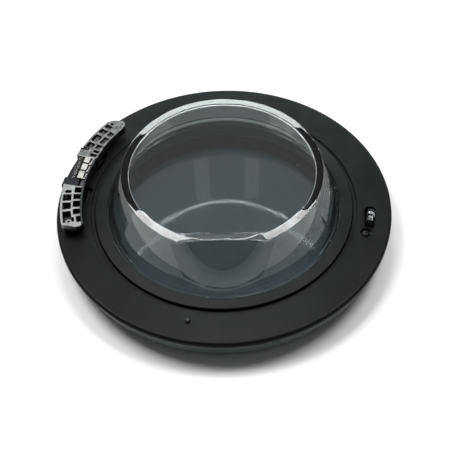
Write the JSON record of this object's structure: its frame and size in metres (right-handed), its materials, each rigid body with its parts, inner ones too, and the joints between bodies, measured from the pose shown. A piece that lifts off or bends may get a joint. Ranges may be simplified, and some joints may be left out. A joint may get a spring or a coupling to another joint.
{
  "type": "washing machine door",
  "caption": "Round porthole door of a front-loading washing machine: dark ring, clear glass bowl with a flat facet, sprung latch hook and ribbed cast hinge.",
  "frame": {"origin": "centre of the door's front face, on the plane that the door lies on with its front face down", "axes": "+Z from the front face towards the drum, +X towards the latch, -X towards the hinge, whose pin is parallel to Y"},
  "size_m": [0.47, 0.47, 0.119],
  "materials": {
    "trim_plastic": "satin dark grey moulding of the front ring",
    "ring_plastic": "fine-textured charcoal moulding of the back ring",
    "inner_plastic": "plain dark moulding inside the door",
    "tinted_screen": "smoke-tinted transparent screen",
    "clear_glass": "pressed clear glass, polished",
    "rubber": "matt black rubber",
    "casting": "as-cast silver grey",
    "black_casting": "black coated die casting",
    "steel": "bright plated steel",
    "dark_steel": "dark phosphated steel",
    "nylon": "natural nylon"
  },
  "bodies": {
    "door": {"front_ring": "trim_plastic", "front_screen": "tinted_screen", "screen_gasket": "rubber", "back_ring": "ring_plastic", "glass_bowl": "clear_glass", "bowl_gasket": "rubber", "glass_retainer": "inner_plastic", "hinge_bracket": "black_casting", "hinge_pin": "steel", "latch_case": "inner_plastic", "latch_screw": "dark_steel", "latch_pin": "steel", "latch_spring": "steel", "hinge_spring": "dark_steel", "pin_clip_1": "steel", "pin_clip_2": "steel", "door_buffer": "rubber", "leaf_buffer_1": "rubber", "leaf_buffer_2": "rubber", "retainer_screw_1": "steel", "retainer_screw_2": "steel", "retainer_screw_3": "steel", "retainer_screw_4": "steel", "retainer_screw_5": "steel", "retainer_screw_6": "steel", "retainer_screw_7": "steel", "retainer_screw_8": "steel", "bracket_screw_1": "steel", "bracket_screw_2": "steel", "bracket_screw_3": "steel", "bracket_screw_4": "steel"},
    "hinge_leaf": {"hinge_leaf": "casting", "hinge_bush_1": "nylon", "hinge_bush_2": "nylon", "leaf_stop": "rubber"},
    "latch_hook": {"latch_hook": "steel"}
  },
  "joints": [
    {"name": "leaf_swing", "type": "hinge", "parent": "door", "child": "hinge_leaf", "pos_m": [-0.2175, 0, 0.057], "axis": [0, -1, 0], "range_deg": [0, 165]},
    {"name": "hook_rock", "type": "hinge", "parent": "door", "child": "latch_hook", "pos_m": [0.2055, 0.009, 0.027], "axis": [0, -1, 0], "range_deg": [0, 8], "stiffness_Nm_per_rad": 0.4, "springref_deg": -20.05}
  ]
}
